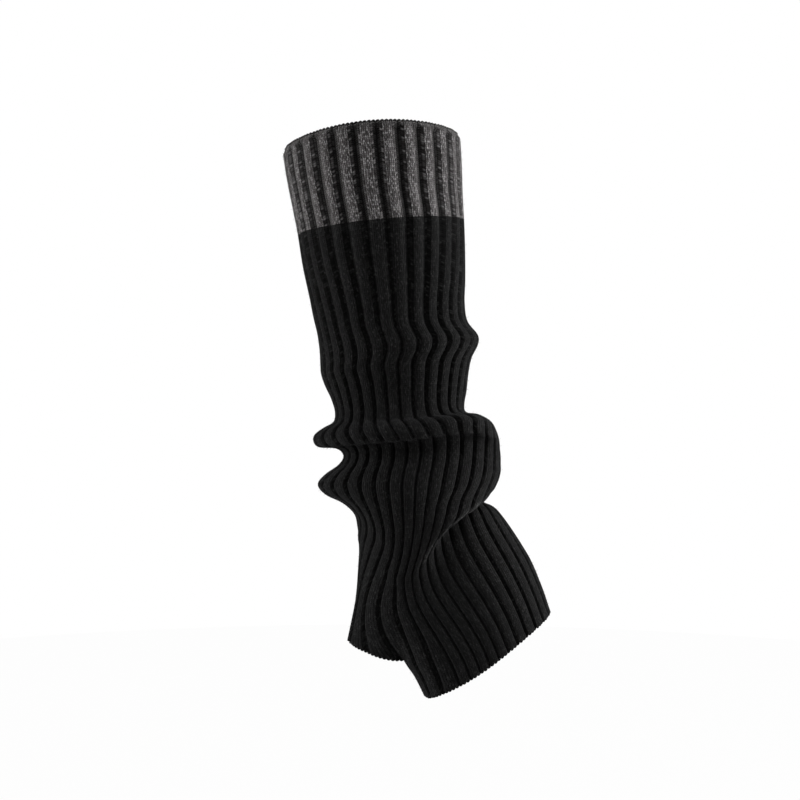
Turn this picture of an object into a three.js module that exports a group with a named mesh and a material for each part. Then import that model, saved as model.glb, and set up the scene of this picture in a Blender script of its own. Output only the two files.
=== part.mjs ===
// One ribbed-knit stirrup leg warmer, worn and seen from its side, toes to the lower right.
// Millimetres, +Z up, -Y is the near side of the leg, +X is the shin and instep side.
// The origin is in the middle of the cuff band, where the calf holds the sleeve up.
import * as THREE from "three";

// Knit
const ribCount = 26;
const ribDepth = 2.2;
const wallThickness = 1.6;
const seamGap = 0.3;
const seamShare = 0.85; // of the gap, given up by each side of a seam
const ribPhase = 17.5;
const ribProfile = [
  { place: 0.0, depth: 1.0 },
  { place: 0.24, depth: 0.12 },
  { place: 0.76, depth: 0.12 },
];

// Where the middle of a slanted section droops most, and how far the droop reaches, in degrees
const droopMiddle = 102;
const droopReach = 34;

// Where the sleeve is folded, the ends of a section go in and out more than its near side:
// the ends are evened out over the sections beside them, and the full ends show only near
// the outline, the closer the higher this power is
const foldedRows = { first: 11, last: 25, weights: [1, 2, 3, 2, 1] };
const endReach = 4;

// A section of the sleeve, one row each, from the rim down to the arch of the foot.
// left and right are the ends seen from the side, near and far the half depths,
// nearRise and farRise lift the middle of each side, crowd gathers ribs on the near side
// and turn carries the ribs round the leg, in degrees.
const sectionColumns = [
  "leftX", "leftZ", "rightX", "rightZ", "near", "far", "nearRise", "farRise", "crowd", "turn",
];
const cuffSections = [
  [-61.5, 23.5, 54.5, 33.5, 55.0, 55.0, 6.5, -6.0, 0.0, 0],
  [-58.5, 4.5, 55.5, 13.5, 53.5, 53.5, 3.5, -3.0, 0.0, 0],
  [-55.0, -13.0, 56.0, -4.0, 52.5, 52.5, 1.5, -1.0, 0.0, 0],
  [-51.5, -31.0, 57.0, -21.0, 51.5, 51.5, 0.0, 0.0, 0.0, -1],
];
const legSections = [
  [-48.5, -50.5, 57.5, -40.5, 49.5, 49.5, 0.0, 0.0, 0.03, -1],
  [-44.5, -70.0, 57.5, -60.0, 47.5, 47.5, 0.0, 0.0, 0.08, -1],
  [-41.5, -84.5, 57.0, -74.0, 46.5, 45.5, 0.0, 0.0, 0.12, -1],
  [-39.0, -95.0, 58.5, -86.5, 46.5, 46.0, 0.0, 0.0, 0.14, 0],
  [-37.5, -105.5, 64.5, -95.5, 48.0, 49.0, 0.0, 0.0, 0.16, 0],
  [-37.0, -114.5, 64.5, -102.0, 48.0, 49.0, 0.0, 0.0, 0.18, 0],
  [-36.5, -121.0, 61.0, -110.5, 46.0, 47.0, 0.0, 0.0, 0.19, 1],
  [-34.0, -128.5, 59.5, -121.0, 43.0, 44.0, 0.0, 0.0, 0.2, 2],
  [-30.0, -137.0, 58.5, -131.5, 41.0, 41.0, 0.0, 0.0, 0.2, 2],
  [-27.5, -145.5, 57.0, -140.5, 41.5, 40.0, 0.0, 0.0, 0.21, 2],
  [-28.5, -152.0, 58.0, -145.5, 44.0, 42.0, 0.0, 0.0, 0.22, 2],
  [-34.5, -155.5, 65.5, -147.0, 48.0, 47.0, 1.0, 0.0, 0.24, 1],
  [-40.5, -160.0, 73.5, -151.5, 52.0, 52.0, 2.5, 0.0, 0.26, 0],
  [-41.5, -164.5, 77.5, -157.5, 54.5, 54.0, 3.0, 0.0, 0.28, 0],
  [-38.0, -168.5, 79.5, -164.0, 52.5, 53.0, 2.5, 0.0, 0.3, 0],
  [-26.5, -169.5, 80.0, -169.5, 42.5, 49.0, 4.5, 0.0, 0.32, 0],
  [-22.0, -174.0, 80.5, -175.0, 38.0, 46.0, 6.0, 0.0, 0.34, 0],
  [-25.5, -180.0, 80.5, -179.5, 39.5, 46.0, 4.5, 0.0, 0.35, 0],
  [-34.0, -186.0, 80.5, -184.0, 42.5, 48.0, 3.0, 0.0, 0.35, 0],
  [-39.0, -192.5, 79.0, -189.0, 45.0, 48.0, 0.5, -1.0, 0.35, 0],
  [-34.0, -199.0, 75.5, -193.5, 46.5, 46.0, -3.0, -3.0, 0.36, 0],
  [-22.5, -204.5, 70.5, -197.0, 44.5, 43.5, -8.5, -6.0, 0.38, 2],
  [-15.0, -211.5, 66.5, -199.5, 42.0, 41.0, -14.0, -9.0, 0.4, 6],
  [-13.0, -219.5, 65.0, -201.0, 39.5, 38.5, -20.0, -12.0, 0.43, 14],
  [-12.5, -227.5, 66.0, -202.5, 38.0, 37.0, -25.0, -15.0, 0.46, 24],
  [-12.0, -236.0, 69.5, -204.0, 37.0, 36.0, -28.0, -17.0, 0.5, 34],
];
const archSections = [[-3.5, -271.0, 79.5, -210.5, 35.5, 35.0, -18.5, -12.0, 0.5, 48]];
const footSections = [
  [16.5, -304.5, 97.5, -236.5, 36.0, 36.0, -9.5, -7.0, 0.47, 56],
  [24.0, -316.0, 107.0, -257.5, 36.5, 36.5, -5.0, -5.0, 0.44, 58],
  [30.5, -328.8, 113.0, -275.0, 36.0, 36.0, -3.0, -3.0, 0.42, 59],
];

// How the heel pushes the sleeve back: backward and upward at the middle of the heel,
// the half angle it spans, how much wider it makes the lip, how flat the sole side is
// and how closely the ribs are gathered there, in degrees.
const heelColumns = ["heelX", "heelZ", "heelSpan", "heelWide", "sole", "gather"];
const noHeel = [0, 0, 70, 0, 0, 0];
const archHeel = [-10.4, 6.5, 60, 2, 0.04, 6];
const lipHeel = [-36, 10.5, 31, 9, 0.12, 8];
const pastLip = [-45, 16, 31, 12, 0.12, 8];
const archFlat = [0, 0, 31, 0, 0.04, 6];
const soleFlat = [0, 0, 31, 0, 0.12, 8];
const gatherReach = 70;

// Folds that sit at one place of the sleeve: the section and the angle of their middle,
// how far they reach along and round the sleeve, how far out and up they lie, and by how
// many sections they slant over 100 degrees.
const folds = [
  { section: 8.8, angle: 30, along: 1.6, round: 40, out: 2.0, up: 0.0, slant: 0.0 },
  { section: 12.5, angle: 100, along: 2.0, round: 26, out: -3.0, up: 0.0, slant: 0.0 },
  { section: 15.7, angle: 45, along: 1.6, round: 24, out: 7.0, up: 1.0, slant: 0.0 },
  { section: 18.6, angle: 52, along: 2.4, round: 30, out: 0.0, up: 3.0, slant: 0.0 },
  { section: 26.9, angle: 68, along: 1.5, round: 30, out: 4.2, up: -1.2, slant: 3.4 },
  { section: 29.2, angle: 68, along: 1.3, round: 29, out: -3.6, up: 0.0, slant: 2.8 },
];

const degree = Math.PI / 180;
const columns = [...sectionColumns, ...heelColumns, "evenLeft", "evenRight"];

function withEvenEnds(rows) {
  const ends = ["leftX", "rightX"].map((name) => sectionColumns.indexOf(name));
  const middle = (foldedRows.weights.length - 1) / 2;
  const whole = foldedRows.weights.reduce((sum, weight) => sum + weight);
  return rows.map((row, at) => {
    if (at < foldedRows.first || at > foldedRows.last) return [...row, ...ends.map((end) => row[end])];
    const even = ends.map((end) =>
      foldedRows.weights.reduce((sum, weight, step) => sum + weight * rows[at + step - middle][end], 0),
    );
    return [...row, ...even.map((value) => value / whole)];
  });
}

const join = (sections, heel) => sections.map((section) => [...section, ...heel]);
const legTable = withEvenEnds([
  ...join([...cuffSections, ...legSections], noHeel),
  ...join(archSections, archHeel),
  ...join(footSections.slice(0, 1), lipHeel),
  ...join(footSections.slice(1, 2), pastLip),
]);
const footTable = withEvenEnds([...join(archSections, archFlat), ...join(footSections, soleFlat)]);

// Numbers of the sections where one piece ends and the next begins
const bandEdge = cuffSections.length - 1;
const archRow = bandEdge + legSections.length + 1;
const heelSlit = archRow + 1;

function mixRows(table, place) {
  const last = table.length - 1;
  const at = Math.min(Math.max(Math.floor(place), 0), last - 1);
  const step = place - at;
  const values = {};
  columns.forEach((name, column) => {
    const from = table[at][column];
    const to = table[at + 1][column];
    const before = at > 0 ? table[at - 1][column] : 2 * from - to;
    const after = at + 2 <= last ? table[at + 2][column] : 2 * to - from;
    values[name] =
      0.5 *
      (2 * from +
        (to - before) * step +
        (2 * before - 5 * from + 4 * to - after) * step ** 2 +
        (3 * from - before - 3 * to + after) * step ** 3);
  });
  return values;
}

// Signed difference of two angles, in degrees, between -180 and 180
function angleBetween(angle, middle) {
  const turned = angle - middle * degree;
  return Math.atan2(Math.sin(turned), Math.cos(turned)) / degree;
}

// The crest surface of the ribs at a section and a rib angle in degrees
function crestPoint(table, firstRow, place, ribAngle) {
  const row = mixRows(table, place - firstRow);
  const turned = (ribAngle + row.turn) * degree;
  const crowded = turned + row.crowd * Math.cos(turned);
  const atHeel = Math.max(-1, Math.min(1, angleBetween(crowded, 180) / gatherReach));
  const angle = crowded - row.gather * degree * Math.sin(atHeel * Math.PI);
  const cosine = Math.cos(angle);
  const sine = Math.sin(angle);
  const nearSide = sine > 0;
  const halfX = (row.rightX - row.leftX) / 2;
  const halfZ = (row.rightZ - row.leftZ) / 2;
  const sideRise = nearSide ? row.nearRise : row.farRise;
  const fromLowest = Math.acos(cosine) / degree - droopMiddle;
  const droop = Math.exp(-((fromLowest / droopReach) ** 2));
  const rise = sideRise * (sideRise < 0 ? droop : sine ** 2);
  const corner = 1 + (cosine < 0 ? row.sole : 0) * Math.sin(2 * angle) ** 2;
  const leftShare = Math.max(-cosine, 0) ** endReach;
  const rightShare = Math.max(cosine, 0) ** endReach;
  const point = new THREE.Vector3(
    (row.evenLeft + row.evenRight) / 2 +
      ((row.evenRight - row.evenLeft) / 2) * cosine * corner +
      (row.leftX - row.evenLeft) * leftShare +
      (row.rightX - row.evenRight) * rightShare,
    -(nearSide ? row.near : row.far) * sine * corner,
    (row.leftZ + row.rightZ) / 2 + halfZ * cosine * corner + rise,
  );

  const fromHeel = angleBetween(angle, 180) / row.heelSpan;
  if (Math.abs(fromHeel) < 1) {
    const push = Math.cos((fromHeel * Math.PI) / 2) ** 2;
    const widen = Math.sin(fromHeel * Math.PI);
    point.x += row.heelX * push;
    point.y += row.heelWide * widen * Math.abs(widen);
    point.z += row.heelZ * push ** 0.8;
  }

  const half = Math.hypot(halfX, halfZ);
  for (const fold of folds) {
    const across = angleBetween(angle, fold.angle);
    const along = (place - fold.section - (fold.slant * across) / 100) / fold.along;
    const amount = Math.exp(-(along ** 2) - (across / fold.round) ** 2);
    point.x += (fold.out * amount * cosine * halfX) / half;
    point.y -= fold.out * amount * sine;
    point.z += (fold.out * amount * cosine * halfZ) / half + fold.up * amount;
  }
  return point;
}

// Outward direction of the crest surface
function crestNormal(table, firstRow, place, ribAngle) {
  const step = 0.02;
  const at = (along, round) => crestPoint(table, firstRow, place + along, ribAngle + round);
  const down = at(step, 0).sub(at(-step, 0));
  const round = at(0, 1).sub(at(0, -1));
  return down.cross(round).normalize().negate();
}

// A tube of knit from one section to another: ribs outside, a plain inside, a thin end at
// each opening. Each rib has three points outside and one inside.
function knitTube(name, material, table, firstRow, places) {
  const ribPitch = 360 / ribCount;
  const outer = [];
  const inner = [];
  for (const place of places) {
    for (let rib = 0; rib < ribCount; rib += 1) {
      const groove = ribPhase + rib * ribPitch;
      for (const profile of ribProfile) {
        const angle = groove + profile.place * ribPitch;
        const normal = crestNormal(table, firstRow, place, angle);
        const point = crestPoint(table, firstRow, place, angle);
        outer.push(point.addScaledVector(normal, -profile.depth * ribDepth));
      }
      const normal = crestNormal(table, firstRow, place, groove);
      const point = crestPoint(table, firstRow, place, groove);
      inner.push(point.addScaledVector(normal, -ribDepth - wallThickness));
    }
  }

  const perRib = ribProfile.length;
  const outerCount = ribCount * perRib;
  const innerStart = outer.length;
  const outerAt = (ring, step) => ring * outerCount + (step % outerCount);
  const innerAt = (ring, step) => innerStart + ring * ribCount + (step % ribCount);
  const points = [...outer, ...inner];
  const faces = [];
  // Four corners, cut along the shorter diagonal so that the ribs stay smooth where they slant
  const quad = (a, b, c, d) => {
    const straight = points[a].distanceTo(points[c]) <= points[b].distanceTo(points[d]);
    faces.push(...(straight ? [a, b, c, a, c, d] : [a, b, d, b, c, d]));
  };
  for (let ring = 0; ring + 1 < places.length; ring += 1) {
    for (let step = 0; step < outerCount; step += 1) {
      quad(outerAt(ring, step), outerAt(ring, step + 1), outerAt(ring + 1, step + 1), outerAt(ring + 1, step));
    }
    for (let rib = 0; rib < ribCount; rib += 1) {
      quad(innerAt(ring, rib), innerAt(ring + 1, rib), innerAt(ring + 1, rib + 1), innerAt(ring, rib + 1));
    }
  }
  for (const [ring, upward] of [[0, true], [places.length - 1, false]]) {
    for (let rib = 0; rib < ribCount; rib += 1) {
      const [groove, first, second, next] = [0, 1, 2, 3].map((step) => outerAt(ring, rib * perRib + step));
      const inside = innerAt(ring, rib);
      const insideNext = innerAt(ring, rib + 1);
      const corners = [
        [inside, groove, first],
        [inside, first, second],
        [inside, second, insideNext],
        [insideNext, second, next],
      ];
      for (const [a, b, c] of corners) faces.push(...(upward ? [a, c, b] : [a, b, c]));
    }
  }

  const geometry = new THREE.BufferGeometry().setFromPoints(points);
  geometry.setIndex(faces);
  geometry.computeVertexNormals();
  const mesh = new THREE.Mesh(geometry, material);
  mesh.name = name;
  return mesh;
}

// Places from one section to another, with a number of steps for each section
function steps(from, to, perSection) {
  const count = Math.round((to - from) * perSection);
  return Array.from({ length: count + 1 }, (_, step) => from + ((to - from) * step) / count);
}

// Moves a ring off a seam, along the sleeve, until the gap is clear all round
function clearOfSeam(table, firstRow, place, direction) {
  const step = 0.05;
  const moves = Array.from({ length: ribCount }, (_, rib) => {
    const angle = ribPhase + (rib * 360) / ribCount;
    const here = crestPoint(table, firstRow, place, angle);
    return here.distanceTo(crestPoint(table, firstRow, place + direction * step, angle));
  });
  return place + (direction * step * seamGap * seamShare) / Math.min(...moves);
}

const marlYarn = new THREE.MeshStandardMaterial({ color: 0x4d4b4b, roughness: 0.95, metalness: 0 });
const blackYarn = new THREE.MeshStandardMaterial({ color: 0x141415, roughness: 0.95, metalness: 0 });

// The tube in lengths, from one section to another, with the rings for each section.
// The cuff is the marl band, the foot the band round the arch; the black tube between them is
// in four lengths, cut where it is narrow.
const lengths = [
  { name: "cuff_band", table: legTable, firstRow: 0, from: 0, to: bandEdge, perSection: 4 / bandEdge },
  { name: "calf_tube", table: legTable, firstRow: 0, from: bandEdge, to: 12.5, perSection: 1 },
  { name: "slouch_tube", table: legTable, firstRow: 0, from: 12.5, to: 19.5, perSection: 2 },
  { name: "ankle_tube", table: legTable, firstRow: 0, from: 19.5, to: 23.5, perSection: 2 },
  { name: "instep_tube", table: legTable, firstRow: 0, from: 23.5, to: heelSlit, perSection: 3 },
  { name: "foot_band", table: footTable, firstRow: archRow, from: heelSlit, to: heelSlit + 2, perSection: 2 },
];

const legWarmer = new THREE.Group();
legWarmer.name = "leg_warmer";
lengths.forEach(({ name, table, firstRow, from, to, perSection }, at) => {
  const places = steps(from, to, perSection);
  if (at > 0) places[0] = clearOfSeam(table, firstRow, from, 1);
  if (at + 1 < lengths.length) places[places.length - 1] = clearOfSeam(table, firstRow, to, -1);
  const yarn = (at === 0 ? marlYarn : blackYarn).clone();
  legWarmer.add(knitTube(name, yarn, table, firstRow, places));
});

export default legWarmer;
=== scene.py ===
import math

import bpy
import numpy as np
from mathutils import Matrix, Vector


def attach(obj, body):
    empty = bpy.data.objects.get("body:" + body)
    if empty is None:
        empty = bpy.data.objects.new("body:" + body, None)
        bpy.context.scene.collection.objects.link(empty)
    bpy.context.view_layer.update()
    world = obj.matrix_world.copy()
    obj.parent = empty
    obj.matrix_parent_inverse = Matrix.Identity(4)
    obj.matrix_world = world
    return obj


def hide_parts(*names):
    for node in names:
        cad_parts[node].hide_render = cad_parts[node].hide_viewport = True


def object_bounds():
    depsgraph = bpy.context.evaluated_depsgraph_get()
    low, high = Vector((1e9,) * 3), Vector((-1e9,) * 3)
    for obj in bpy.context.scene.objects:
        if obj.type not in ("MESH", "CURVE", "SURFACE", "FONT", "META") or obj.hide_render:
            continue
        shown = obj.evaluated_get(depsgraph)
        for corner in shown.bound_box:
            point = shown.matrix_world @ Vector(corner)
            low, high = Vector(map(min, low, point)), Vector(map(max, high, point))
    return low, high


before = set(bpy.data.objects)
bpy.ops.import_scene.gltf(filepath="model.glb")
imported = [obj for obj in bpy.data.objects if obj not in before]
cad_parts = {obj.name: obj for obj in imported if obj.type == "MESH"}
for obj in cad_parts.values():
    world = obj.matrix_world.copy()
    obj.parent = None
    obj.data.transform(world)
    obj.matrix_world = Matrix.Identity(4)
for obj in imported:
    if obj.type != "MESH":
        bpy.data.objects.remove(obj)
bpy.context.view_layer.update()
mm = 0.001
print("frame loaded")

# One ribbed-knit stirrup leg warmer, worn, toes to the lower right.
# The knit is laid on the same sections as its solids, with finer ribs, stitches and edges.
# Lengths are in mm. Angles are in degrees: 0 is the shin, 90 the near side and 180 the heel.
knit = {
    "ribs": 26,
    "firstGroove": 17.5,
    "ribDepth": 3.0,
    "wall": 3.9,  # crest to the inside, under a groove
    "innerRib": 1.3,  # how far the inside follows the crests
    "walesPerRib": 7,  # five knit wales on the crest, two purl wales in the groove
    "courseHeight": 1.35,
    "droopMiddle": 102,  # where a low near or far side hangs lowest, counted from the shin
    "droopReach": 34,
    "endPower": 4,  # a section's own ends are left for its evened ends this quickly
    "heelPower": 1.5,  # the heel lip rises this steeply to the middle of the heel
    "gatherReach": 62,  # how far round from the heel its ribs are drawn together
}
# Points across a rib, in wales: close together on the two sides of the groove
walePoints = [0, 0.3, 0.55, 0.78, 1, 1.5, 2.5, 3.5, 4.5, 5.5, 6, 6.22, 6.45, 6.7]

# Sections from the rim down: ends seen from the side, half depths, lift of the near and far
# middle, crowding of the ribs on the near side and turn of the ribs in degrees
legSections = [
    # leftX leftZ rightX rightZ near far nearRise farRise crowd turn
    [-61.5, 23.5, 54.5, 33.5, 55.0, 55.0, 5.0, -6.0, 0.0, 0],
    [-58.5, 4.5, 55.5, 13.5, 53.5, 53.5, 3.5, -3.0, 0.0, 0],
    [-55.0, -13.0, 56.0, -4.0, 52.5, 52.5, 1.5, -1.0, 0.0, 0],
    [-51.5, -31.0, 57.0, -21.0, 51.5, 51.5, 0.0, 0.0, 0.0, -1],  # the yarn changes here
    [-48.5, -50.5, 57.5, -40.5, 49.5, 49.5, 0.0, 0.0, 0.03, -1],
    [-44.5, -70.0, 57.5, -60.0, 47.5, 47.5, 0.0, 0.0, 0.08, -1],
    [-41.5, -84.5, 57.0, -74.0, 46.5, 45.5, 0.0, 0.0, 0.12, -1],
    [-39.0, -95.0, 58.5, -86.5, 46.5, 46.0, 0.0, 0.0, 0.14, 0],
    [-37.5, -105.5, 64.5, -95.5, 48.0, 49.0, 0.0, 0.0, 0.16, 0],
    [-37.0, -114.5, 64.5, -102.0, 48.0, 49.0, 0.0, 0.0, 0.18, 0],
    [-36.5, -121.0, 61.0, -110.5, 46.0, 47.0, 0.0, 0.0, 0.19, 1],
    [-34.0, -128.5, 59.5, -121.0, 43.0, 44.0, 0.0, 0.0, 0.2, 2],
    [-30.0, -137.0, 58.5, -131.5, 41.0, 41.0, 0.0, 0.0, 0.2, 2],
    [-27.5, -145.5, 57.0, -140.5, 41.5, 40.0, 0.0, 0.0, 0.21, 2],
    [-28.5, -152.0, 58.0, -145.5, 44.0, 42.0, 0.0, 0.0, 0.22, 2],
    [-34.5, -155.5, 65.5, -147.0, 48.0, 47.0, 1.0, 0.0, 0.24, 1],
    [-40.5, -160.0, 73.5, -151.5, 52.0, 52.0, 2.5, 0.0, 0.26, 0],
    [-41.5, -164.5, 77.5, -157.5, 54.5, 54.0, 3.0, 0.0, 0.28, 0],
    [-38.0, -168.5, 79.5, -164.0, 52.5, 53.0, 2.5, 0.0, 0.3, 0],
    [-26.5, -169.5, 80.0, -169.5, 42.5, 49.0, 6.5, 0.0, 0.32, 0],
    [-22.0, -174.0, 80.5, -175.0, 38.0, 46.0, 6.0, 0.0, 0.34, 0],
    [-25.5, -180.0, 80.5, -179.5, 39.5, 46.0, 4.5, 0.0, 0.35, 0],
    [-34.0, -186.0, 80.5, -184.0, 42.5, 48.0, 3.0, 0.0, 0.35, 0],
    [-39.0, -192.5, 79.0, -189.0, 45.0, 48.0, 0.5, -1.0, 0.35, 0],
    [-34.0, -199.0, 75.5, -193.5, 46.5, 46.0, -3.0, -3.0, 0.36, 0],
    [-22.5, -204.5, 70.5, -197.0, 44.5, 43.5, -8.5, -6.0, 0.38, 2],
    [-15.0, -211.5, 66.5, -199.5, 42.0, 41.0, -14.0, -9.0, 0.4, 6],
    [-13.0, -219.5, 65.0, -201.0, 39.5, 38.5, -20.0, -12.0, 0.43, 14],
    [-12.5, -227.5, 66.0, -202.5, 38.0, 37.0, -25.0, -15.0, 0.46, 24],
    [-12.0, -236.0, 69.5, -204.0, 37.0, 36.0, -28.0, -17.0, 0.5, 34],
    [-3.5, -271.0, 79.5, -210.5, 35.5, 35.0, -18.5, -12.0, 0.5, 48],  # the arch
]
footSections = [
    [16.5, -304.5, 97.5, -236.5, 36.0, 36.0, -9.5, -7.0, 0.47, 56],
    [24.0, -316.0, 107.0, -257.5, 36.5, 36.5, -5.0, -5.0, 0.44, 58],
    [30.5, -328.8, 113.0, -275.0, 36.0, 36.0, -3.0, -3.0, 0.42, 59],
]
# The heel: how far it pushes the sleeve back and up, its half angle, its widening, the flat sole
# and how closely it gathers the ribs
noHeel = [0, 0, 70, 0, 0, 0]
archHeel = [-10.4, 6.5, 60, 2, 0.04, 9]
lipHeel = [-36, 10.5, 31, 9, 0.12, 11]
pastLip = [-45, 16, 31, 12, 0.12, 11]
archFlat = [0, 0, 31, 0, 0.04, 9]
soleFlat = [0, 0, 31, 0, 0.12, 11]
# Columns of a section with its heel that are looked up by themselves
endsAt, crowdAt, turnAt, heelSpanAt, gatherAt = [0, 2], 8, 9, 12, 15

# Sections where the yarn changes, where the arch lies and where the heel slit opens
bandEdge = 3
archRow = len(legSections) - 1
heelSlit = archRow + 1

# Where the sleeve is folded, the ends of a section go in and out more than its near side does:
# two more columns hold the ends evened out over the sections beside them
foldedRows = {"first": 11, "last": 27, "weights": [2, 3, 3, 3, 2]}


def withEvenEnds(rows):
    table = np.array(rows, float)
    even = table[:, endsAt].copy()
    weights = np.array(foldedRows["weights"]) / sum(foldedRows["weights"])
    reach = len(weights) // 2
    last = min(foldedRows["last"], len(table) - reach - 1)
    for at in range(foldedRows["first"], last + 1):
        even[at] = weights @ table[at - reach : at + reach + 1, endsAt]
    return np.hstack([table, even])


legTable = withEvenEnds(
    [row + noHeel for row in legSections[:-1]]
    + [legSections[-1] + archHeel, footSections[0] + lipHeel, footSections[1] + pastLip]
)
footTable = withEvenEnds([legSections[-1] + archFlat] + [row + soleFlat for row in footSections])

# Folds at one place of the sleeve: section and angle of the middle, reach along and round,
# how far out and up they lie, and how many sections they slant down over slantAngle
slantAngle = 100
folds = [
    [8.8, 30, 1.6, 40, 2.0, 0.0, 0.0],
    [12.5, 100, 2.0, 26, -3.0, 0.0, 0.0],
    [15.7, 45, 1.6, 24, 7.0, 1.0, 0.0],
    [18.6, 52, 2.4, 30, 0.0, 5.0, 0.0],
    [26.4, 50, 1.3, 42, 5.5, -7.0, 3.6],
    [28.6, 50, 0.9, 40, -6.0, 0.0, 3.0],
]

# Half width of a groove as a share of the rib's pitch: wide where the cuff is stretched
grooveHalf = {"section": [0, 3, 9, 16, 24, 33], "half": [0.28, 0.27, 0.18, 0.16, 0.14, 0.13]}
# A rib's shape: how deep its crest and its shoulders lie, as shares of the groove, and how wide its
# sides are, as a share of half the crest
ribShape = {"crest": 0.03, "shoulder": 0.2, "side": 0.26}


# The table at places between its sections, on a smooth curve through them
def mixRows(table, places):
    last = len(table) - 1
    at = np.clip(np.floor(places), 0, last - 1).astype(int)
    step = (places - at)[:, None]
    start = table[at]
    end = table[at + 1]
    before = np.where(at[:, None] > 0, table[np.maximum(at - 1, 0)], 2 * start - end)
    after = np.where(at[:, None] + 2 <= last, table[np.minimum(at + 2, last)], 2 * end - start)
    straight = (end - before) * step
    curved = (2 * before - 5 * start + 4 * end - after) * step**2
    cubic = (3 * start - before - 3 * end + after) * step**3
    return 0.5 * (2 * start + straight + curved + cubic)


def angleBetween(angle, middle):
    turned = angle - np.radians(middle)
    return np.degrees(np.arctan2(np.sin(turned), np.cos(turned)))


# Where ribs lie round the tube: turned, crowded on the near side and gathered at the heel
def angleRound(rows, ribAngles):
    crowd, turn, gather = rows.T[[crowdAt, turnAt, gatherAt], :, None]
    turned = np.radians(ribAngles + turn)
    angle = turned + crowd * np.cos(turned)
    fromHeel = np.clip(angleBetween(angle, 180) / knit["gatherReach"], -1, 1)
    return angle - np.radians(gather) * np.sin(fromHeel * np.pi)


# The surface over the ribs' crests, in mm, for places down the sleeve and rib angles in degrees
def crestSurface(table, firstRow, places, ribAngles):
    rows = mixRows(table, places - firstRow)
    leftX, leftZ, rightX, rightZ, near, far, nearRise, farRise = rows.T[:crowdAt, :, None]
    heelX, heelZ, heelSpan, heelWide, sole = rows.T[turnAt + 1 : gatherAt, :, None]
    evenLeft, evenRight = rows.T[gatherAt + 1 :, :, None]
    angle = angleRound(rows, ribAngles)
    cosine = np.cos(angle)
    sine = np.sin(angle)
    halfX = (rightX - leftX) / 2
    halfZ = (rightZ - leftZ) / 2
    # The near and far sides rise to their middles, or hang low just behind them
    sideRise = np.where(sine > 0, nearRise, farRise)
    fromNearest = np.degrees(np.arccos(cosine)) - knit["droopMiddle"]
    droop = np.exp(-((fromNearest / knit["droopReach"]) ** 2))
    rise = sideRise * np.where(sideRise < 0, droop, sine**2)
    # A flat sole has its two corners squared
    corner = 1 + np.where(cosine < 0, sole, 0) * np.sin(2 * angle) ** 2
    x = (evenLeft + evenRight) / 2 + (evenRight - evenLeft) / 2 * cosine * corner
    x = x + (leftX - evenLeft) * np.maximum(-cosine, 0) ** knit["endPower"]
    x = x + (rightX - evenRight) * np.maximum(cosine, 0) ** knit["endPower"]
    y = -np.where(sine > 0, near, far) * sine * corner
    z = (leftZ + rightZ) / 2 + halfZ * cosine * corner + rise

    # The heel pushes the sleeve back and up, and out to both sides of itself
    fromHeel = np.clip(angleBetween(angle, 180) / heelSpan, -1, 1)
    push = np.cos(fromHeel * np.pi / 2) ** 2
    widen = np.sin(fromHeel * np.pi)
    x = x + heelX * push
    y = y + heelWide * widen * np.abs(widen)
    z = z + heelZ * push ** knit["heelPower"]

    half = np.hypot(halfX, halfZ)
    for section, middle, reachAlong, reachRound, out, up, slant in folds:
        across = angleBetween(angle, middle)
        along = (places[:, None] - section - slant * across / slantAngle) / reachAlong
        around = across / reachRound
        amount = np.exp(-(along**2) - around**2)
        x = x + out * amount * cosine * halfX / half
        y = y - out * amount * sine
        z = z + out * amount * cosine * halfZ / half + up * amount
    return np.stack([x, y, z], axis=-1)


# Places down the sleeve that are evenly spaced along the cloth, which is measured finely first
def evenPlaces(table, firstRow, start, end, count):
    fine = np.linspace(start, end, 600)
    points = crestSurface(table, firstRow, fine, np.arange(0, 360, 15.0)[None, :])
    steps = np.linalg.norm(np.diff(points, axis=0), axis=2).mean(axis=1)
    length = np.concatenate([[0], np.cumsum(steps)])
    return np.interp(np.linspace(0, length[-1], count), length, fine)


# Angle and depth of each point round the tube: the first and last wale of a rib are purl
def ribRound(places):
    half = np.interp(places, grooveHalf["section"], grooveHalf["half"])[:, None]
    wale = np.array(walePoints)[None, :]
    wales = knit["walesPerRib"]
    crestWales = wales - 2
    crest = half + (1 - 2 * half) * (wale - 1) / crestWales
    nextGroove = 1 - half * (wales - wale)
    share = np.where(wale < 1, half * wale, np.where(wale > wales - 1, nextGroove, crest))
    fromMiddle = np.abs(wale - wales / 2) / (crestWales / 2)
    side = np.clip((fromMiddle - 1) / ribShape["side"], 0, 1)
    side = side * side * (3 - 2 * side)
    depth = ribShape["crest"] + ribShape["shoulder"] * np.minimum(fromMiddle, 1) ** 3
    depth = depth + (1 - depth) * side
    pitch = 360 / knit["ribs"]
    ribStart = knit["firstGroove"] + pitch * np.arange(knit["ribs"])[None, :, None]
    angles = (ribStart + pitch * share[:, None, :]).reshape(len(places), -1)
    depths = np.broadcast_to(depth[:, None, :], (1, knit["ribs"], depth.shape[1]))
    return angles, depths.reshape(1, -1)


# The folded edge of the diagonal crease, where a highlight is painted: the sections it runs through
# at three rib angles, how far it reaches along the sleeve, and the middle and half of the angles that
# it spans
crease = {
    "angle": [5, 37, 61],
    "section": [25.2, 27.35, 28.2],
    "reach": 0.42,
    "middle": 33,
    "half": 31,
}


# Share of the painted highlight along the crease's edge in each point, from 0 to 1: even along it and
# gone past its ends
def creaseHighlightShare(places, angles):
    angle = (angles + 180) % 360 - 180
    middle = np.interp(angle, crease["angle"], crease["section"])
    along = (places[:, None] - middle) / crease["reach"]
    around = (angle - crease["middle"]) / crease["half"]
    return np.exp(-(along**2) - around**6)


def unit(vectors):
    return vectors / np.linalg.norm(vectors, axis=-1, keepdims=True)


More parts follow.
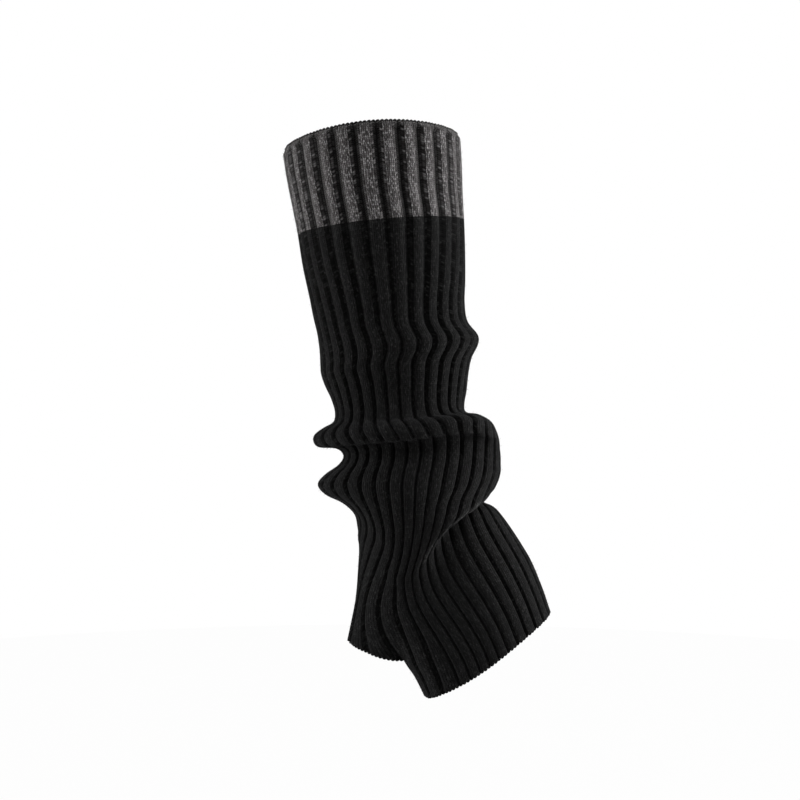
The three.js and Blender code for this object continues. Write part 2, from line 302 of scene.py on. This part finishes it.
def outwardNormals(points):
    down = np.gradient(points, axis=0)
    around = np.roll(points, -1, axis=1) - np.roll(points, 1, axis=1)
    return unit(-np.cross(down, around))


# The way the cloth runs off one end of a tube: 0 is its upper end and -1 its lower one
def offEnd(outside, end):
    return unit(outside[end] - outside[end - 1 if end else 1])


def addObject(name, data):
    made = bpy.data.objects.new(name, data)
    bpy.context.scene.collection.objects.link(made)
    return made


endTurns = (0.25, 0.5, 0.75)  # where the rings round an end lie, as shares of half a turn


# Rings of a closed tube, each one's courses and whether it is outside: down the outside, round
# the lower end, up the inside and round the upper end
def closedRings(piece, outside, inside, courses, innerCourses):
    rings = [outside]
    marks = [courses]
    kinds = [np.ones(len(outside))]
    for end, bulge in ((-1, piece["bottomRound"]), (0, piece["topRound"])):
        if end == 0:
            rings.append(inside[::-1])
            marks.append(innerCourses[::-1])
            kinds.append(np.zeros(len(inside)))
        off = offEnd(outside, end)
        for turn in endTurns if end else endTurns[::-1]:
            mix = (1 - math.cos(math.pi * turn)) / 2
            edge = outside[end] * (1 - mix) + inside[end] * mix
            rings.append((edge + off * bulge * math.sin(math.pi * turn))[None])
            marks.append(courses[end][None])
            kinds.append(np.zeros(1))
    return np.concatenate(rings), np.concatenate(marks), np.concatenate(kinds)


# How far from an opening, in mm, the ribs are flattened and the rim curls in
openingReach = {"topFlat": 2.8, "bottomFlat": 2.2, "curl": 1.6}
# Shares of a groove's depth where the painted shade of the purl wales starts and where it is full
purlShadeDepths = [0.15, 0.75]


# One closed tube of knit: ribs outside, a softer rib inside, and an end at each opening.
# The courses are counted from startCourse, so that the stitches run on from tube to tube.
def knitTube(name, piece, startCourse=None):
    table, firstRow = piece["table"], piece["firstRow"]
    places = evenPlaces(table, firstRow, piece["start"], piece["end"], piece["rows"])
    angles, depths = ribRound(places)
    crest = crestSurface(table, firstRow, places, angles)
    normals = outwardNormals(crest)
    fromTop = np.arange(len(places))[:, None] * piece["rowStep"]
    fromBottom = fromTop[::-1]
    flatTop = piece["topFlat"] * np.exp(-((fromTop / openingReach["topFlat"]) ** 4))
    flatBottom = piece["bottomFlat"] * np.exp(-((fromBottom / openingReach["bottomFlat"]) ** 2))
    curl = piece["topCurl"] * np.exp(-((fromTop / openingReach["curl"]) ** 2))
    sunk = depths * knit["ribDepth"] * (1 - flatTop - flatBottom) + curl
    outside = crest - normals * sunk[:, :, None]

    courses = np.linalg.norm(np.diff(outside, axis=0), axis=2) / knit["courseHeight"]
    begin = np.zeros(outside.shape[1]) if startCourse is None else startCourse
    courses = np.vstack([begin, begin + np.cumsum(courses, axis=0)])

    innerRows = np.linspace(0, len(places) - 1, piece["innerRows"]).round().astype(int)
    innerRows = np.unique(innerRows)
    innerDepth = knit["wall"] - knit["innerRib"] * (1 - depths)
    inside = (crest - normals * innerDepth[:, :, None])[innerRows]

    rings, marks, kinds = closedRings(piece, outside, inside, courses, courses[innerRows])
    count, columns = rings.shape[:2]
    ring, column = np.indices((count, columns)).reshape(2, -1)
    nextRing = (ring + 1) % count
    nextColumn = (column + 1) % columns
    corners = [(ring, column), (ring, nextColumn), (nextRing, nextColumn), (nextRing, column)]
    faces = np.stack([at * columns + across for at, across in corners], axis=1)
    mesh = bpy.data.meshes.new(name)
    mesh.from_pydata((rings * mm).reshape(-1, 3), [], faces)

    # The knit map counts wales round and courses down, one stitch to a unit
    wales = (knit["walesPerRib"] * np.arange(knit["ribs"])[:, None] + np.array(walePoints)).ravel()
    nextWales = np.append(wales, knit["walesPerRib"] * knit["ribs"])
    waleAt = [wales[column], nextWales[column + 1], nextWales[column + 1], wales[column]]
    courseAt = [marks[at, side] for at, side in corners]
    stitches = np.stack([np.stack(waleAt, axis=1), np.stack(courseAt, axis=1)], axis=2)
    mesh.uv_layers.new(name="knit").data.foreach_set("uv", stitches.ravel())

    # Shares that the yarn and the loose fibres read: outside or not, in a groove for painted shade,
    # on the crease for a painted highlight
    purl = np.clip((depths - purlShadeDepths[0]) / (purlShadeDepths[1] - purlShadeDepths[0]), 0, 1)
    creaseHighlightMask = np.zeros((count, columns))
    creaseHighlightMask[: len(places)] = creaseHighlightShare(places, angles)
    shares = {
        "outside": np.repeat(kinds, columns),
        "purl": np.where(kinds[:, None] > 0, purl, 0).ravel(),
        "crease": creaseHighlightMask.ravel(),
    }
    for label, share in shares.items():
        mesh.attributes.new(label, "FLOAT", "POINT").data.foreach_set("value", share)

    mesh.polygons.foreach_set("use_smooth", np.ones(len(faces), bool))
    ends = np.zeros(2 * len(mesh.edges), int)
    mesh.edges.foreach_get("vertices", ends)
    ends = ends.reshape(-1, 2) // columns
    sharp = np.zeros(len(mesh.edges), bool)
    for row in piece["sharpRows"]:
        sharp |= (ends == row % len(places)).all(axis=1)
    mesh.attributes.new("sharp_edge", "BOOLEAN", "EDGE").data.foreach_set("value", sharp)
    mesh.validate()
    piece["outside"] = outside
    piece["inside"] = inside
    piece["angles"] = angles
    piece["courses"] = courses
    return addObject(name, mesh)


# Start and end are places down the sleeve. Flat ends lose that share of their rib depth, the curl
# and the rounding are in mm, and rowStep is the length of cloth between two rows of points.
cuff = {
    "table": legTable,
    "firstRow": 0,
    "start": 0.015,
    "end": bandEdge,
    "rows": 56,
    "innerRows": 20,
    "rowStep": 1.0,
    "topFlat": 0.85,
    "bottomFlat": 0,
    "topCurl": 1.6,
    "topRound": 0.6,
    "bottomRound": 0,
    "sharpRows": [-1],
}
leg = {
    "table": legTable,
    "firstRow": 0,
    "start": bandEdge,
    "end": heelSlit,
    "rows": 190,
    "innerRows": 50,
    "rowStep": 1.7,
    "topFlat": 0,
    "bottomFlat": 0,
    "topCurl": 0,
    "topRound": 0,
    "bottomRound": 0,
    "sharpRows": [0, -1],
}
foot = {
    "table": footTable,
    "firstRow": archRow,
    "start": heelSlit,
    "end": heelSlit + 1.98,
    "rows": 26,
    "innerRows": 12,
    "rowStep": 1.1,
    "topFlat": 0,
    "bottomFlat": 0.45,
    "topCurl": 0,
    "topRound": 0,
    "bottomRound": 0.6,
    "sharpRows": [0],
}

cuffTube = knitTube("cuffKnit", cuff)
legTube = knitTube("legKnit", leg, cuff["courses"][-1])
footTube = knitTube("footKnit", foot, leg["courses"][-1])
print("knit tubes made")


# An sRGB hex colour as linear red, green, blue and alpha
def linear(hexColour):
    parts = [int(hexColour[at : at + 2], 16) / 255 for at in (1, 3, 5)]
    curve = [part / 12.92 if part <= 0.04045 else ((part + 0.055) / 1.055) ** 2.4 for part in parts]
    return (*curve, 1.0)


def addNode(tree, kind, settings=None, links=None):
    node = tree.nodes.new(kind)
    for key, value in (settings or {}).items():
        if isinstance(key, str) and key in node.bl_rna.properties:
            setattr(node, key, value)
        else:
            node.inputs[key].default_value = value
    for key, socket in (links or {}).items():
        tree.links.new(socket, node.inputs[key])
    return node


# The shape of a stitch in the yarn: how square a leg's ends are, how much its height falls off
# towards them, and how far its two legs lie apart
stitch = {"legEnd": 2.5, "legFall": 0.8, "legSpread": 1.45}


# Knitted yarn. Each wale is a column of Vs upside down: two legs that slant down from its middle.
# That gives rows of small catch lights down each rib from the bump, and dark dots of painted shade
# between the loops.
def yarnMaterial(name, look):
    material = bpy.data.materials.new(name)
    material.use_nodes = True
    tree = material.node_tree
    tree.nodes.clear()

    stitchMap = addNode(tree, "ShaderNodeUVMap", {"uv_map": "knit"})
    parts = addNode(tree, "ShaderNodeSeparateXYZ", links={"Vector": stitchMap.outputs["UV"]})
    values = {"wale": parts.outputs["X"], "course": parts.outputs["Y"]}
    for share in ("purl", "crease"):
        values[share] = addNode(tree, "ShaderNodeAttribute", {"attribute_name": share}).outputs["Fac"]

    # Lumps in the spun yarn and its single fibres, by size in mm, detail and roughness
    place = addNode(tree, "ShaderNodeTexCoord")
    grains = {"slub": (look["slubMm"], 2.0, 0.6), "fibre": (look["fibreMm"], 3.0, 0.7)}
    for grain, (size, detail, rough) in grains.items():
        noise = addNode(
            tree,
            "ShaderNodeTexNoise",
            {"Scale": 1 / (size * mm), "Detail": detail, "Roughness": rough},
            {"Vector": place.outputs["Object"]},
        )
        values[grain] = noise.outputs["Fac"]
    # One random value for each stitch, or each leg of it: plies of lighter and darker fibre
    cell = addNode(tree, "ShaderNodeCombineXYZ")
    ply = addNode(
        tree, "ShaderNodeTexWhiteNoise", {"noise_dimensions": "2D"}, {"Vector": cell.outputs[0]}
    )
    values["ply"] = ply.outputs["Value"]

    # Each row is a Math node: its name, its operation and what goes in, by name or as a number
    sums = [
        ("acrossWale", "FRACT", "wale"),
        ("waleSide", "MULTIPLY_ADD", "acrossWale", 2.0, -1.0),
        ("fromMiddle", "ABSOLUTE", "waleSide"),
        ("slanted", "MULTIPLY_ADD", "fromMiddle", -look["slant"], "course"),
        ("alongLeg", "FRACT", "slanted"),
        ("legPart", "MULTIPLY_ADD", "alongLeg", 2.0, -1.0),
        ("fromLegMiddle", "ABSOLUTE", "legPart"),
        ("legEnd", "POWER", "fromLegMiddle", stitch["legEnd"]),
        ("legBow", "SUBTRACT", 1.0, "legEnd"),
        ("legHeight", "MULTIPLY_ADD", "legBow", stitch["legFall"], 1 - stitch["legFall"]),
        ("acrossLeg", "MULTIPLY_ADD", "fromMiddle", stitch["legSpread"], 1 - stitch["legSpread"]),
        ("fromLegLine", "ABSOLUTE", "acrossLeg"),
        ("sideEnd", "POWER", "fromLegLine", look["waleGap"]),
        ("sideBow", "SUBTRACT", 1.0, "sideEnd"),
        ("loop", "MULTIPLY", "legHeight", "sideBow"),
        ("legPlace", "MULTIPLY", "wale", look["cells"]),
        ("legNumber", "FLOOR", "legPlace"),
        ("rowNumber", "FLOOR", "slanted"),
        ("slubPart", "MULTIPLY", "slub", 1 - look["plyShare"]),
        ("shade", "MULTIPLY_ADD", "ply", look["plyShare"], "slubPart"),
        # Painted shade: the purl wales lie deep between the ribs, and so does the yarn between two
        # loops, and both are darkened
        ("purlPaintedShade", "MULTIPLY_ADD", "purl", look["purlShade"] - 1, 1.0),
        ("gapPaintedShade", "MULTIPLY_ADD", "loop", 1 - look["gapShade"], look["gapShade"]),
        # Painted shade: the first courses under the rim and the chains at the edges are darkened,
        # most at the edge and less with each course below
        ("edgeShadeRamp", "MULTIPLY_ADD", "course", look["edgeSlope"], look["edgeShade"]),
        ("edgePaintedShade", "MINIMUM", 1.0, "edgeShadeRamp"),
        # Painted highlight: along the crease's folded edge the yarn is made lighter, where the edge
        # meets the side light edge-on
        ("creasePaintedLight", "MULTIPLY_ADD", "crease", look["creaseLight"], 1.0),
        ("loopShadeAndCreaseLight", "MULTIPLY", "gapPaintedShade", "creasePaintedLight"),
        ("ribShadeAndLight", "MULTIPLY", "purlPaintedShade", "loopShadeAndCreaseLight"),
        ("paintedShadeAndLight", "MULTIPLY", "ribShadeAndLight", "edgePaintedShade"),
        ("height", "MULTIPLY_ADD", "fibre", look["fibreHeight"], "loop"),
    ]
    for step, operation, *given in sums:
        numbers = {at: item for at, item in enumerate(given) if not isinstance(item, str)}
        sockets = {at: values[item] for at, item in enumerate(given) if isinstance(item, str)}
        node = addNode(tree, "ShaderNodeMath", {"operation": operation, **numbers}, sockets)
        values[step] = node.outputs[0]
    tree.links.new(values["legNumber"], cell.inputs["X"])
    tree.links.new(values["rowNumber"], cell.inputs["Y"])

    colour = addNode(tree, "ShaderNodeValToRGB", links={"Fac": values["shade"]})
    elements = colour.color_ramp.elements
    while len(elements) < len(look["stops"]):
        elements.new(0.5)
    for element, (position, hexColour) in zip(elements, look["stops"]):
        element.position = position
        element.color = linear(hexColour)
    # The yarn's colour times its painted shade and painted highlight
    shaded = addNode(
        tree,
        "ShaderNodeVectorMath",
        {"operation": "SCALE"},
        {0: colour.outputs["Color"], "Scale": values["paintedShadeAndLight"]},
    )
    bump = addNode(
        tree,
        "ShaderNodeBump",
        {"Strength": look["bump"], "Distance": look["loopMm"] * mm},
        {"Height": values["height"]},
    )
    shader = addNode(
        tree,
        "ShaderNodeBsdfPrincipled",
        {
            "Roughness": look["roughness"],
            "IOR": 1.5,
            "Specular IOR Level": look["specular"],
            "Sheen Weight": look["sheen"],
            "Sheen Roughness": 0.45,
            "Sheen Tint": linear(look["sheenTint"]),
        },
        {"Base Color": shaded.outputs[0], "Normal": bump.outputs["Normal"]},
    )
    addNode(tree, "ShaderNodeOutputMaterial", links={"Surface": shader.outputs["BSDF"]})
    return material


# Charcoal marl acrylic yarn, rib knitted: dark and light plies twisted together, which gives a
# salt and pepper grain in neutral greys on the ribs, and the grooves between them are painted nearly
# black as shade
marlLook = {
    "slant": 0.55,  # courses that a leg of yarn falls from the middle of a wale to its side
    "cells": 2,  # random shades to a wale, one for each leg
    "plyShare": 0.75,  # the plies' share of the grain, with the slubs as the rest
    "slubMm": 1.0,
    "fibreMm": 0.35,  # grain of the fibres, coarser than real ones so that it shows
    "fibreHeight": 0.35,  # share of a stitch's height
    "waleGap": 1.4,  # power: a low one leaves wide gaps between the wales
    "stops": [(0.12, "#2a2828"), (0.42, "#555252"), (0.62, "#767374"), (0.88, "#bdbabb")],
    "purlShade": 0.08,  # share of the colour left in the purl wales, as painted shade
    "creaseLight": 0.0,  # share of the colour added along the crease's edge, as a painted highlight
    "edgeShade": 0.4,  # share of the colour left in the first course, as painted shade
    "edgeSlope": 0.16,  # and added with each course below it
    "gapShade": 0.0,  # share of the colour left between two loops, as painted shade
    "loopMm": 0.6,  # height of a stitch
    "bump": 1.0,
    "roughness": 0.9,
    "specular": 0.1,
    "sheen": 0.45,
    "sheenTint": "#d2cecd",
}
# Black acrylic yarn, rib knitted: soft and matt, with faint flecks and a little fibre haze
blackLook = {
    "slant": 0.55,
    "cells": 2,
    "plyShare": 0.7,
    "slubMm": 1.6,
    "fibreMm": 0.35,
    "fibreHeight": 0.35,
    "waleGap": 2.2,
    "stops": [(0.1, "#0e0e0e"), (0.45, "#161616"), (0.7, "#1f1f1f"), (0.92, "#353535")],
    # The shares below paint shade and a highlight into the colour, as in marlLook: none in the purl
    # wales here, a painted highlight along the crease, and painted shade at the edges and between the
    # loops
    "purlShade": 1.0,
    "creaseLight": 2.9,
    "edgeShade": 0.6,
    "edgeSlope": 0.16,
    "gapShade": 0.15,
    "loopMm": 0.5,
    "bump": 1.0,
    "roughness": 0.9,
    "specular": 0.06,
    "sheen": 0.06,
    "sheenTint": "#c8c8cc",
}
marlYarn = yarnMaterial("marlAcrylicRibKnit", marlLook)
blackYarn = yarnMaterial("blackAcrylicRibKnit", blackLook)
cuffTube.data.materials.append(marlYarn)
legTube.data.materials.append(blackYarn)
footTube.data.materials.append(blackYarn)
print("yarns made")


# A geometry node tree with a socket for each of its sizes
def newTree(name, inputs):
    tree = bpy.data.node_groups.new(name, "GeometryNodeTree")
    tree.interface.new_socket("Geometry", in_out="INPUT", socket_type="NodeSocketGeometry")
    for label, kind in inputs.items():
        tree.interface.new_socket(label, in_out="INPUT", socket_type=kind)
    tree.interface.new_socket("Geometry", in_out="OUTPUT", socket_type="NodeSocketGeometry")
    start = tree.nodes.new("NodeGroupInput")
    end = tree.nodes.new("NodeGroupOutput")
    return tree, start.outputs, end.inputs


# Ends a tree: its instances are made real and get their yarn
def endTree(tree, placed, yarn, result):
    real = addNode(tree, "GeometryNodeRealizeInstances", links={"Geometry": placed.outputs[0]})
    ready = {"Geometry": real.outputs[0], "Material": yarn}
    coloured = addNode(tree, "GeometryNodeSetMaterial", links=ready)
    tree.links.new(coloured.outputs[0], result["Geometry"])


# Runs a tree on an object, turns the result into a plain mesh and takes the modifier off again
def applyTree(source, tree, values, name):
    modifier = source.modifiers.new(name, "NODES")
    modifier.node_group = tree
    inputs = [item for item in tree.interface.items_tree if item.in_out == "INPUT"]
    sockets = {item.name: item.identifier for item in inputs}
    for label, value in values.items():
        modifier[sockets[label]] = value
    depsgraph = bpy.context.evaluated_depsgraph_get()
    mesh = bpy.data.meshes.new_from_object(source.evaluated_get(depsgraph))
    source.modifiers.remove(modifier)
    mesh.name = name
    return addObject(name, mesh)


# Bound-off edges: a chain of slanted yarn loops along each edge
edging = {
    "stitchMm": 2.7,
    "loopLengthMm": 2.3,
    "loopHeightMm": 1.2,
    "loopSides": 10,
    "yarnMm": 0.62,
    "yarnSides": 6,
    "tilt": 35,  # degrees
    "outsideShare": 0.6,  # where the chain lies across the wall's thickness
    "standOffMm": 0.15,
    "smoothing": 6,  # points to each side that even out the line of the chain
    "slitMargin": 4,  # degrees at each end of the heel slit without a chain
}


def edgeTree():
    tree, given, result = newTree(
        "boundEdge",
        {
            "Stitch Length": "NodeSocketFloat",
            "Loop Size": "NodeSocketVector",
            "Yarn Radius": "NodeSocketFloat",
            "Tilt": "NodeSocketFloat",
            "Yarn": "NodeSocketMaterial",
        },
    )
    path = addNode(tree, "GeometryNodeMeshToCurve", links={"Mesh": given["Geometry"]})
    spaced = addNode(
        tree,
        "GeometryNodeResampleCurve",
        {"mode": "LENGTH"},
        {"Curve": path.outputs[0], "Length": given["Stitch Length"]},
    )
    tangent = addNode(tree, "GeometryNodeInputTangent")
    outward = addNode(
        tree, "GeometryNodeInputNamedAttribute", {"data_type": "FLOAT_VECTOR", "Name": "outward"}
    )
    facing = addNode(
        tree,
        "FunctionNodeAlignRotationToVector",
        {"axis": "Z"},
        {"Vector": outward.outputs[0]},
    )
    along = addNode(
        tree,
        "FunctionNodeAlignRotationToVector",
        {"axis": "X", "pivot_axis": "Z"},
        {"Rotation": facing.outputs[0], "Vector": tangent.outputs[0]},
    )
    tip = addNode(tree, "ShaderNodeCombineXYZ", links={"Z": given["Tilt"]})
    tipTurn = addNode(tree, "FunctionNodeEulerToRotation", links={"Euler": tip.outputs[0]})
    tipped = addNode(
        tree,
        "FunctionNodeRotateRotation",
        {"rotation_space": "LOCAL"},
        {"Rotation": along.outputs[0], "Rotate By": tipTurn.outputs[0]},
    )
    ringLine = addNode(
        tree,
        "GeometryNodeCurvePrimitiveCircle",
        {"Resolution": edging["loopSides"], "Radius": 0.5},
    )
    shaped = addNode(
        tree,
        "GeometryNodeTransform",
        links={"Geometry": ringLine.outputs[0], "Scale": given["Loop Size"]},
    )
    section = addNode(
        tree,
        "GeometryNodeCurvePrimitiveCircle",
        {"Resolution": edging["yarnSides"]},
        {"Radius": given["Yarn Radius"]},
    )
    yarn = addNode(
        tree,
        "GeometryNodeCurveToMesh",
        links={"Curve": shaped.outputs[0], "Profile Curve": section.outputs[0]},
    )
    placed = addNode(
        tree,
        "GeometryNodeInstanceOnPoints",
        links={
            "Points": spaced.outputs[0],
            "Instance": yarn.outputs[0],
            "Rotation": tipped.outputs[0],
        },
    )
    endTree(tree, placed, given["Yarn"], result)
    return tree


# An object of edges alone for a chain to follow, with the way out of the wall at each point
def edgePath(lines, closed):
    points = np.concatenate([line for line, _ in lines])
    outward = np.concatenate([away for _, away in lines])
    edges = []
    start = 0
    for line, _ in lines:
        edges += [(start + at, start + at + 1) for at in range(len(line) - 1)]
        if closed:
            edges.append((start + len(line) - 1, start))
        start += len(line)
    mesh = bpy.data.meshes.new("edgePath")
    mesh.from_pydata(points * mm, edges, [])
    outwardMark = mesh.attributes.new("outward", "FLOAT_VECTOR", "POINT")
    outwardMark.data.foreach_set("vector", outward.ravel())
    return addObject("edgePath", mesh)


def smoothRing(values):
    reach = edging["smoothing"]
    weights = np.hanning(2 * reach + 3)[1:-1]
    weights = weights / weights.sum()
    padded = np.concatenate([values[-reach:], values, values[:reach]])
    parts = [np.convolve(padded[:, axis], weights, "valid") for axis in range(3)]
    return np.stack(parts, axis=1)


# The line that a chain lies on, in the wall at one end of a tube, and the way out of the wall
def edgeLine(piece, end):
    outside, inside = piece["outside"][end], piece["inside"][end]
    share = edging["outsideShare"]
    line = outside * share + inside * (1 - share)
    line = line + offEnd(piece["outside"], end) * edging["standOffMm"]
    return smoothRing(line), smoothRing(unit(outside - inside))


# The stretch of an edge that the heel slit leaves free
def heelStretch(piece, end):
    line, away = edgeLine(piece, end)
    rows = mixRows(piece["table"], np.array([heelSlit - piece["firstRow"]]))
    fromHeel = angleBetween(angleRound(rows, piece["angles"][end])[0], 180)
    reach = rows[0, heelSpanAt] - edging["slitMargin"]
    free = [at for at in np.argsort(fromHeel) if abs(fromHeel[at]) < reach]
    return line[free], away[free]


chain = edgeTree()
chainSizes = {
    "Stitch Length": edging["stitchMm"] * mm,
    "Loop Size": (edging["loopLengthMm"] * mm, edging["loopHeightMm"] * mm, mm),
    "Yarn Radius": edging["yarnMm"] * mm,
    "Tilt": math.radians(edging["tilt"]),
}
edges = {
    "rimEdge": ([edgeLine(cuff, 0)], True, marlYarn),
    "hemEdge": ([edgeLine(foot, -1)], True, blackYarn),
    "heelEdge": ([heelStretch(leg, -1), heelStretch(foot, 0)], False, blackYarn),
}
edgePieces = {}
for name, (lines, closed, yarn) in edges.items():
    path = edgePath(lines, closed)
    edgePieces[name] = applyTree(path, chain, {**chainSizes, "Yarn": yarn}, name)
    bpy.data.objects.remove(path)
print("bound edges made")


# Loose fibre ends that stand off the yarn, thicker than real ones so that they show
fuzz = {
    "perSquareMetre": {"cuffFuzz": 90000, "legFuzz": 45000, "footFuzz": 45000},
    "lengthMm": 1.5,
    "shortest": 0.4,  # share of the length
    "fibreMm": 0.045,
    "fibreSides": 3,
    "lean": 1.1,  # radians, the furthest that a fibre leans over
    "turn": 6.28,  # radians, all the way round
    "seed": 11,
    # Where a fibre bends, in shares of its length
    "bend": {
        "Start": (0, 0, 0),
        "Start Handle": (0, 0, 0.5),
        "End Handle": (0.3, 0, 0.9),
        "End": (0.8, 0, 1),
    },
}


def fuzzTree():
    tree, given, result = newTree(
        "looseFibres",
        {
            "Density": "NodeSocketFloat",
            "Length": "NodeSocketFloat",
            "Fibre Radius": "NodeSocketFloat",
            "Seed": "NodeSocketInt",
            "Yarn": "NodeSocketMaterial",
        },
    )
    outside = addNode(
        tree, "GeometryNodeInputNamedAttribute", {"data_type": "FLOAT", "Name": "outside"}
    )
    share = addNode(
        tree,
        "ShaderNodeMath",
        {"operation": "MULTIPLY"},
        {0: outside.outputs[0], 1: given["Density"]},
    )
    spread = addNode(
        tree,
        "GeometryNodeDistributePointsOnFaces",
        {"distribute_method": "RANDOM"},
        {"Mesh": given["Geometry"], "Density": share.outputs[0], "Seed": given["Seed"]},
    )
    least = (-fuzz["lean"], -fuzz["lean"], 0.0)
    most = (fuzz["lean"], fuzz["lean"], fuzz["turn"])
    turn = addNode(
        tree,
        "FunctionNodeRandomValue",
        {"data_type": "FLOAT_VECTOR", 0: least, 1: most},
        {"Seed": given["Seed"]},
    )
    tilt = addNode(tree, "FunctionNodeEulerToRotation", links={"Euler": turn.outputs[0]})
    lean = addNode(
        tree,
        "FunctionNodeRotateRotation",
        {"rotation_space": "LOCAL"},
        {"Rotation": spread.outputs["Rotation"], "Rotate By": tilt.outputs[0]},
    )
    size = addNode(
        tree,
        "FunctionNodeRandomValue",
        {"data_type": "FLOAT", 2: fuzz["shortest"], 3: 1.0},
        {"Seed": given["Seed"]},
    )
    bend = addNode(
        tree,
        "GeometryNodeCurvePrimitiveBezierSegment",
        {"Resolution": 3, **fuzz["bend"]},
    )
    grown = addNode(
        tree,
        "GeometryNodeTransform",
        links={"Geometry": bend.outputs[0], "Scale": given["Length"]},
    )
    section = addNode(
        tree,
        "GeometryNodeCurvePrimitiveCircle",
        {"Resolution": fuzz["fibreSides"]},
        {"Radius": given["Fibre Radius"]},
    )
    strand = addNode(
        tree,
        "GeometryNodeCurveToMesh",
        {"Fill Caps": True},
        {"Curve": grown.outputs[0], "Profile Curve": section.outputs[0]},
    )
    placed = addNode(
        tree,
        "GeometryNodeInstanceOnPoints",
        links={
            "Points": spread.outputs["Points"],
            "Instance": strand.outputs[0],
            "Rotation": lean.outputs[0],
            "Scale": size.outputs[1],
        },
    )
    endTree(tree, placed, given["Yarn"], result)
    return tree


fibres = fuzzTree()
fuzzPieces = {}
for name, (tube, yarn) in {
    "cuffFuzz": (cuffTube, marlYarn),
    "legFuzz": (legTube, blackYarn),
    "footFuzz": (footTube, blackYarn),
}.items():
    values = {
        "Density": fuzz["perSquareMetre"][name],
        "Length": fuzz["lengthMm"] * mm,
        "Fibre Radius": fuzz["fibreMm"] * mm,
        "Seed": fuzz["seed"],
        "Yarn": yarn,
    }
    fuzzPieces[name] = applyTree(tube, fibres, values, name)
print("loose fibres made")

for name, piece in {**edgePieces, **fuzzPieces}.items():
    print(name, len(piece.data.polygons), "faces")

# What each piece stands for, and the cloth's flat sizes: round the tube laid open, and its length
blackTube = ("calf_tube", "slouch_tube", "ankle_tube", "instep_tube")
for tube, nodes, slot, width, length in (
    (cuffTube, ("cuff_band",), "marl_yarn", 0.335, 0.057),
    (legTube, blackTube, "black_yarn", 0.3, 0.36),
    (footTube, ("foot_band",), "black_yarn", 0.27, 0.033),
):
    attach(tube, "root")
    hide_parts(*nodes)
for name, piece in {**edgePieces, **fuzzPieces}.items():
    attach(piece, "root")
print("pieces set on the frame")


# Floor: plain and pale, and clear of the hem, since the sleeve is worn off the ground
floorPlace = {"drop": 0.1, "radius": 1.0, "sides": 96, "glare": 0.98}
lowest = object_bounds()[0][2]
floorZ = lowest - floorPlace["drop"]
turns = [2 * math.pi * side / floorPlace["sides"] for side in range(floorPlace["sides"])]
reach = floorPlace["radius"]
floorMesh = bpy.data.meshes.new("floor")
floorMesh.from_pydata(
    [(reach * math.cos(turn), reach * math.sin(turn), floorZ) for turn in turns],
    [],
    [list(range(len(turns)))],
)
floor = addObject("floor", floorMesh)
# Rolled matt paint, no gloss, lit so brightly that it reads as white as the walls behind
floorPaint = bpy.data.materials.new("mattPaleFloorPaint")
floorPaint.use_nodes = True
paint = floorPaint.node_tree
paint.nodes.clear()
matt = addNode(
    paint,
    "ShaderNodeBsdfPrincipled",
    {"Base Color": linear("#9a9a98"), "Roughness": 0.9, "Specular IOR Level": 0.1},
)
glare = addNode(paint, "ShaderNodeEmission", {"Color": (1, 1, 1, 1), "Strength": 1.0})
floorRays = addNode(paint, "ShaderNodeLightPath")
glareShare = addNode(
    paint,
    "ShaderNodeMath",
    {"operation": "MULTIPLY", 1: floorPlace["glare"]},
    {0: floorRays.outputs["Is Camera Ray"]},
)
floorMix = addNode(
    paint,
    "ShaderNodeMixShader",
    links={0: glareShare.outputs[0], 1: matt.outputs["BSDF"], 2: glare.outputs[0]},
)
addNode(paint, "ShaderNodeOutputMaterial", links={"Surface": floorMix.outputs[0]})
floorMesh.materials.append(floorPaint)

# Light: two wide soft boxes beside the sleeve, weak ones in front and above, white walls all round
lights = {
    # name: place, size, power in watts, all aimed at the middle of the sleeve
    "leftBox": ((-1.5, -0.2, -0.25), (1.0, 1.4), 38),
    "rightBox": ((1.5, -0.12, 0.2), (1.0, 1.4), 50),
    "frontBox": ((-0.3, -1.6, 1.0), (1.0, 0.8), 7),
    "topBox": ((0.0, 0.2, 1.6), (1.4, 1.4), 5),
}
aim = Vector((0.02, 0.0, -0.15))
for name, (place, size, power) in lights.items():
    lamp = bpy.data.lights.new(name, "AREA")
    lamp.shape = "RECTANGLE"
    lamp.size, lamp.size_y = size
    lamp.energy = power
    box = addObject(name, lamp)
    box.location = place
    box.rotation_euler = (aim - Vector(place)).to_track_quat("-Z", "Y").to_euler()

# The camera sees the walls white, and they light the sleeve more weakly
walls = {"seen": 1.0, "light": 0.16}
world = bpy.data.worlds.new("whiteStudio")
bpy.context.scene.world = world
world.use_nodes = True
room = world.node_tree
room.nodes.clear()
white = (1, 1, 1, 1)
rays = addNode(room, "ShaderNodeLightPath")
seen = addNode(room, "ShaderNodeBackground", {"Color": white, "Strength": walls["seen"]})
glow = addNode(room, "ShaderNodeBackground", {"Color": white, "Strength": walls["light"]})
both = addNode(
    room,
    "ShaderNodeMixShader",
    links={0: rays.outputs["Is Camera Ray"], 1: glow.outputs[0], 2: seen.outputs[0]},
)
addNode(room, "ShaderNodeOutputWorld", links={"Surface": both.outputs[0]})

# Camera: level, one metre in front, at the height of the photograph's middle
view = {"place": (0.01495, -1.0, -0.1378), "lensMm": 69.23, "sensorMm": 36}
lens = bpy.data.cameras.new("camera")
lens.lens = view["lensMm"]
lens.sensor_width = view["sensorMm"]
camera = addObject("camera", lens)
camera.location = view["place"]
camera.rotation_euler = (math.pi / 2, 0, 0)
bpy.context.scene.camera = camera
bpy.context.scene.view_settings.view_transform = "Standard"
print("floor, light and camera set")
